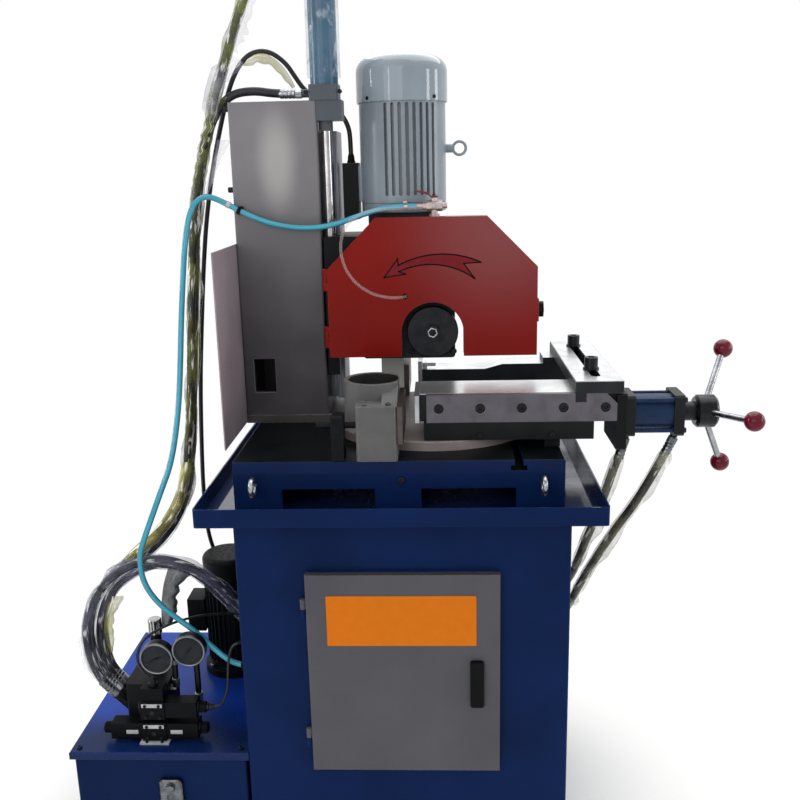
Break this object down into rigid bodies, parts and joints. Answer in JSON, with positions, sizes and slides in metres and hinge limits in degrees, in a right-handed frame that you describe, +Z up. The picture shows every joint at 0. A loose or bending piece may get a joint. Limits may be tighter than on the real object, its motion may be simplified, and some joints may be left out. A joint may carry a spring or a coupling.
{
  "type": "pipe cutting machine",
  "caption": "Hydraulic cold saw that cuts pipe: a swivelling column feeds a geared saw head down over a double vice on a cabinet, with an oil tank and power unit beside it.",
  "frame": {"origin": "centre of the pedestal's four anchor holes, on the floor", "axes": "+X to the operator's right, +Y away from the operator, +Z up"},
  "size_m": [1.521, 0.808, 2.0601],
  "materials": {
    "navy_paint": "semi-gloss navy enamel",
    "door_paint": "satin warm grey paint",
    "grey_paint": "satin machine grey paint",
    "motor_paint": "semi-gloss grey enamel",
    "red_paint": "semi-gloss red enamel",
    "black_paint": "satin black",
    "cast_grey": "grey painted casting",
    "table_iron": "oiled dark iron",
    "steel": "ground steel",
    "dark_steel": "blackened steel",
    "chrome_plate": "bright chrome",
    "bronze": "machined bronze",
    "blue_cylinder": "blue enamel",
    "black_plastic": "matte black",
    "knob_plastic": "polished crimson",
    "lever_plastic": "red vinyl dip",
    "brass_body": "satin nickel brass",
    "hose_rubber": "black rubber",
    "teal_hose": "clear teal vinyl",
    "clear_tube": "clear vinyl"
  },
  "bodies": {
    "base": {"pedestal": "navy_paint", "drip_tray": "navy_paint", "riser": "navy_paint", "table_top": "table_iron", "lifting_eyes": "chrome_plate", "fixed_jaws": "cast_grey", "fixed_jaw_plates": "steel", "swivel_stop": "black_paint", "vice_bed": "black_paint", "vice_nut": "bronze", "oil_tank": "navy_paint", "tank_lid": "navy_paint", "level_gauge": "chrome_plate", "valve_manifold": "steel", "solenoid_valves": "black_plastic", "pressure_gauges": "steel", "pump_motor": "black_paint", "vice_hoses": "hose_rubber", "valve_leads": "hose_rubber"},
    "swivel": {"turntable": "cast_grey", "column": "grey_paint", "splash_plate": "grey_paint", "cylinder_mount": "grey_paint", "feed_cylinder": "blue_cylinder", "hose_clips": "steel", "feed_hoses": "hose_rubber", "coolant_hose": "teal_hose", "motor_cable": "hose_rubber"},
    "head": {"carriage": "black_paint", "feed_rod": "chrome_plate", "gearbox": "black_paint", "spindle_bearings": "steel", "motor_frame": "motor_paint", "fan_cowl": "motor_paint", "terminal_box": "black_plastic", "guard_shell": "red_paint", "coolant_valve": "brass_body", "drip_tube": "clear_tube"},
    "rotor": {"motor_rotor": "steel"},
    "spindle": {"spindle": "steel", "worm_wheel": "bronze", "blade_flange": "dark_steel"},
    "guard_door": {"guard_door": "red_paint"},
    "guard_knob": {"guard_knob": "black_plastic"},
    "coolant_lever": {"coolant_lever": "lever_plastic"},
    "vice_piston": {"vice_piston": "dark_steel"},
    "vice_saddle": {"front_saddle": "steel", "gib_plate": "steel", "vice_bolts": "dark_steel", "rear_saddle": "black_paint", "moving_jaw_plates": "dark_steel", "yoke": "black_paint", "end_bracket": "black_paint", "vice_cylinder": "blue_cylinder"},
    "handwheel": {"vice_screw": "steel", "handwheel": "chrome_plate", "handwheel_balls": "knob_plastic"},
    "cabinet_door": {"cabinet_door": "door_paint"},
    "door_lock": {"door_lock": "black_plastic"},
    "relief_knob": {"relief_knob": "chrome_plate"}
  },
  "joints": [
    {"name": "column_swivel", "type": "hinge", "parent": "base", "child": "swivel", "pos_m": [0.07, 0.004, 0.994], "axis": [0, 0, 1], "range_deg": [0, 45], "deforming": ["feed_hoses", "coolant_hose", "motor_cable"]},
    {"name": "head_feed", "type": "slide", "parent": "swivel", "child": "head", "axis": [0, 0, 1], "range_m": [0, 0.2]},
    {"name": "motor_spin", "type": "hinge", "parent": "head", "child": "rotor", "pos_m": [0.005, 0.11, 1.6], "axis": [0, 0, 1], "continuous": true},
    {"name": "spindle_spin", "type": "hinge", "parent": "head", "child": "spindle", "pos_m": [0.07, 0.1, 1.216], "axis": [0, 1, 0], "continuous": true},
    {"name": "guard_door_swing", "type": "hinge", "parent": "head", "child": "guard_door", "pos_m": [-0.176, -0.028, 1.3], "axis": [0, 0, 1], "range_deg": [-110, 0], "deforming": ["drip_tube"]},
    {"name": "guard_knob_turn", "type": "hinge", "parent": "guard_door", "child": "guard_knob", "pos_m": [0.315, -0.0095, 1.266], "axis": [1, 0, 0], "range_deg": [0, 90]},
    {"name": "coolant_lever_turn", "type": "hinge", "parent": "head", "child": "coolant_lever", "pos_m": [0.078, -0.002, 1.525], "axis": [0, 0, 1], "range_deg": [0, 90]},
    {"name": "vice_travel", "type": "slide", "parent": "base", "child": "vice_piston", "axis": [1, 0, 0], "range_m": [0, 0.0901], "deforming": ["vice_hoses"]},
    {"name": "handwheel_turn", "type": "hinge", "parent": "vice_piston", "child": "handwheel", "pos_m": [0.66, -0.157, 1.05705], "axis": [1, 0, 0], "range_deg": [0, 6480]},
    {"name": "vice_clamp", "type": "slide", "parent": "vice_piston", "child": "vice_saddle", "axis": [1, 0, 0], "range_m": [-0.01, 0]},
    {"name": "cabinet_door_swing", "type": "hinge", "parent": "base", "child": "cabinet_door", "pos_m": [-0.216, -0.3275, 0.5], "axis": [0, 0, 1], "range_deg": [-110, 0]},
    {"name": "door_lock_turn", "type": "hinge", "parent": "cabinet_door", "child": "door_lock", "pos_m": [0.159, -0.335, 0.535], "axis": [0, 1, 0], "range_deg": [0, 90]},
    {"name": "relief_knob_turn", "type": "hinge", "parent": "base", "child": "relief_knob", "pos_m": [-0.6, -0.164, 0.545], "axis": [0, 0, 1], "range_deg": [-720, 720]}
  ],
  "couplings": [
    {"joint": "spindle_spin", "follows": "motor_spin", "ratio": -0.033333},
    {"joint": "vice_travel", "follows": "handwheel_turn", "m_per_rad": 0.00079577}
  ]
}
